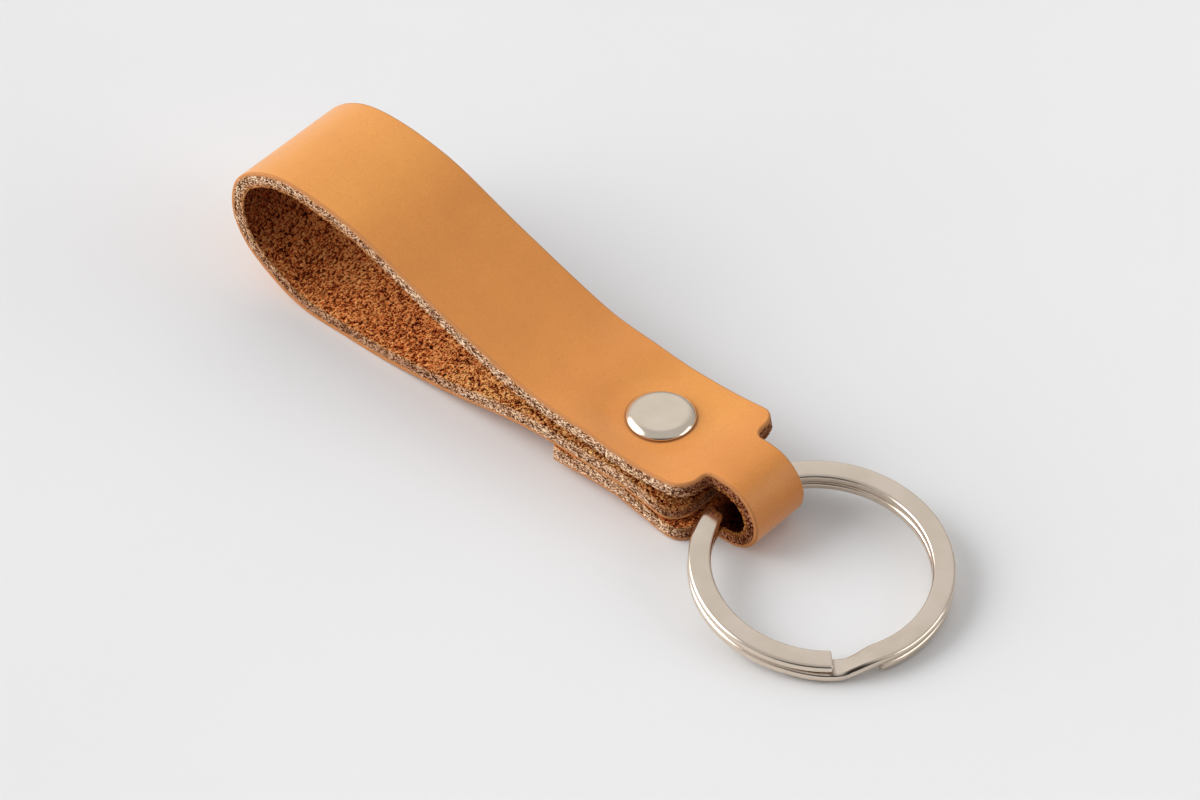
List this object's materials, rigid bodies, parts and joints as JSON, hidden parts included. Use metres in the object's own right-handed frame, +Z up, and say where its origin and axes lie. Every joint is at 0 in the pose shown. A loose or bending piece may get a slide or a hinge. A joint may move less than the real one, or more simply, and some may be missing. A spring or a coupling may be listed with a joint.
{
  "type": "leather key loop",
  "caption": "Folded leather strap with an open hand loop at one end and a narrowed eye at the other, closed by a rivet and holding a flat split ring for keys.",
  "frame": {"origin": "middle of the footprint, on the surface that the key loop lies on", "axes": "+X from the hand loop towards the split ring, +Y across the strap, +Z up from the surface it lies on"},
  "size_m": [0.1003, 0.03, 0.0193],
  "materials": {
    "leather": "smooth vegetable-tanned tan grain, raw flesh side and raw cut edges",
    "nickel": "polished nickel plate"
  },
  "bodies": {
    "strap": {"strap_front_fold": "leather", "strap_inner_end": "leather", "rivet_top_cap": "nickel", "rivet_socket": "nickel", "rivet_post": "nickel", "rivet_base_cap": "nickel"},
    "hand_loop": {"strap_hand_loop": "leather"},
    "split_ring": {"split_ring_coil": "nickel"},
    "ring_free_end": {"split_ring_free_end": "nickel"}
  },
  "joints": [
    {"name": "loop_bend", "type": "hinge", "parent": "strap", "child": "hand_loop", "pos_m": [-0.00114, 0.0025, 0.00635], "axis": [0, 1, 0], "range_deg": [-20, 25], "stiffness_Nm_per_rad": 0.08},
    {"name": "ring_swing", "type": "hinge", "parent": "strap", "child": "split_ring", "pos_m": [0.02241, 0.0025, 0.00462], "axis": [0, -1, 0], "range_deg": [-100, 115]},
    {"name": "ring_end_lift", "type": "hinge", "parent": "split_ring", "child": "ring_free_end", "pos_m": [0.02436, -0.00834, 0.00436], "axis": [-0.7943, -0.6044, 0.0624], "range_deg": [0, 8], "stiffness_Nm_per_rad": 0.5}
  ]
}
